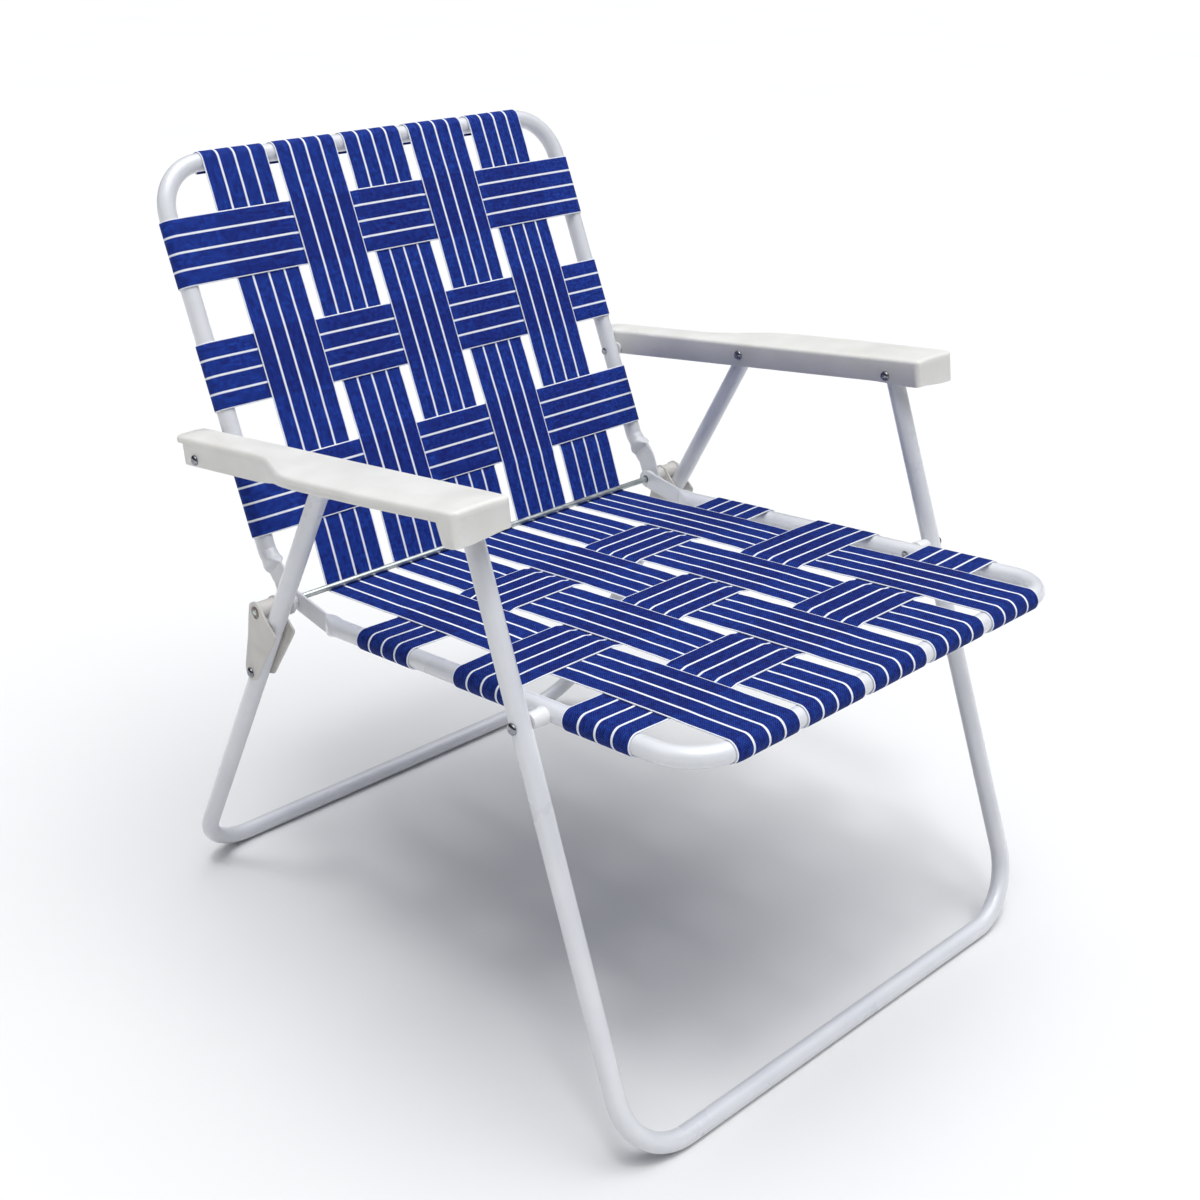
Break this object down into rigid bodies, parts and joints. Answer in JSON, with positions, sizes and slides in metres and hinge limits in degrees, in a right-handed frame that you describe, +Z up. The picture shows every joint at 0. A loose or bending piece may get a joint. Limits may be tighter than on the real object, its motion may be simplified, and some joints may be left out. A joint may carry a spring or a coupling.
{
  "type": "folding webbed lawn chair",
  "caption": "Low folding lawn chair: bent steel tube frames, moulded armrests, and a seat and back woven from wide blue striped webbing.",
  "frame": {"origin": "centre of the bounding box in plan, on the floor", "axes": "+Z up, the chair faces -Y, +X to the sitter's left; node names call the -X side left, as seen from the front"},
  "size_m": [0.6894, 0.776, 0.8074],
  "materials": {
    "tube_paint": "satin",
    "webbing": "woven",
    "moulding": "satin",
    "zinc": "satin",
    "white_plastic": "satin",
    "rivet_steel": "bright"
  },
  "bodies": {
    "back": {"back_frame": "tube_paint", "back_strap_1": "webbing", "back_strap_2": "webbing", "back_strap_3": "webbing", "back_strap_4": "webbing", "back_strap_5": "webbing", "back_cross_strap_1": "webbing", "back_cross_strap_2": "webbing", "back_cross_strap_3": "webbing", "hinge_rod": "zinc", "hinge_spacer_left": "white_plastic", "hinge_spacer_right": "white_plastic", "push_nut_left": "zinc", "push_nut_right": "zinc"},
    "seat": {"seat_frame": "tube_paint", "seat_strap_1": "webbing", "seat_strap_2": "webbing", "seat_strap_3": "webbing", "seat_strap_4": "webbing", "seat_strap_5": "webbing", "seat_cross_strap_1": "webbing", "seat_cross_strap_2": "webbing", "seat_cross_strap_3": "webbing", "seat_pivot_spacer_left": "white_plastic", "seat_pivot_spacer_right": "white_plastic", "seat_pivot_rivet_left": "rivet_steel", "seat_pivot_rivet_right": "rivet_steel"},
    "armrests": {"armrest_left": "moulding", "armrest_right": "moulding", "arm_rear_rivet_left": "rivet_steel", "arm_rear_rivet_right": "rivet_steel", "arm_middle_rivet_left": "rivet_steel", "arm_middle_rivet_right": "rivet_steel", "arm_front_rivet_left": "rivet_steel", "arm_front_rivet_right": "rivet_steel", "arm_rear_washer_left": "white_plastic", "arm_rear_washer_right": "white_plastic"},
    "front_leg": {"front_leg": "tube_paint", "leg_pivot_rivet_left": "rivet_steel", "leg_pivot_rivet_right": "rivet_steel"},
    "rear_leg": {"rear_leg": "tube_paint"},
    "brackets": {"bracket_left": "moulding", "bracket_right": "moulding", "bracket_rivet_left": "rivet_steel", "bracket_rivet_right": "rivet_steel", "bracket_rivet_tail_left": "rivet_steel", "bracket_rivet_tail_right": "rivet_steel"}
  },
  "joints": [
    {"name": "seat_fold", "type": "hinge", "parent": "back", "child": "seat", "pos_m": [0, 0.18845, 0.3785], "axis": [-1, 0, 0], "range_deg": [0, 94]},
    {"name": "armrest_turn", "type": "hinge", "parent": "back", "child": "armrests", "pos_m": [0, 0.2604, 0.52495], "axis": [-1, 0, 0], "range_deg": [0, 94]},
    {"name": "front_leg_turn", "type": "hinge", "parent": "armrests", "child": "front_leg", "pos_m": [0, -0.14405, 0.5725], "axis": [1, 0, 0], "range_deg": [0, 80]},
    {"name": "rear_leg_turn", "type": "hinge", "parent": "armrests", "child": "rear_leg", "pos_m": [0, 0.06245, 0.5545], "axis": [1, 0, 0], "range_deg": [0, 41.4]},
    {"name": "bracket_turn", "type": "hinge", "parent": "back", "child": "brackets", "pos_m": [0, 0.18845, 0.3785], "axis": [-1, 0, 0], "range_deg": [0, 197.7]}
  ],
  "couplings": [
    {"joint": "armrest_turn", "follows": "seat_fold", "ratio": 1},
    {"joint": "front_leg_turn", "follows": "seat_fold", "ratio": 0.85065},
    {"joint": "rear_leg_turn", "follows": "seat_fold", "ratio": 0.43952},
    {"joint": "bracket_turn", "follows": "seat_fold", "ratio": 2.1021}
  ]
}
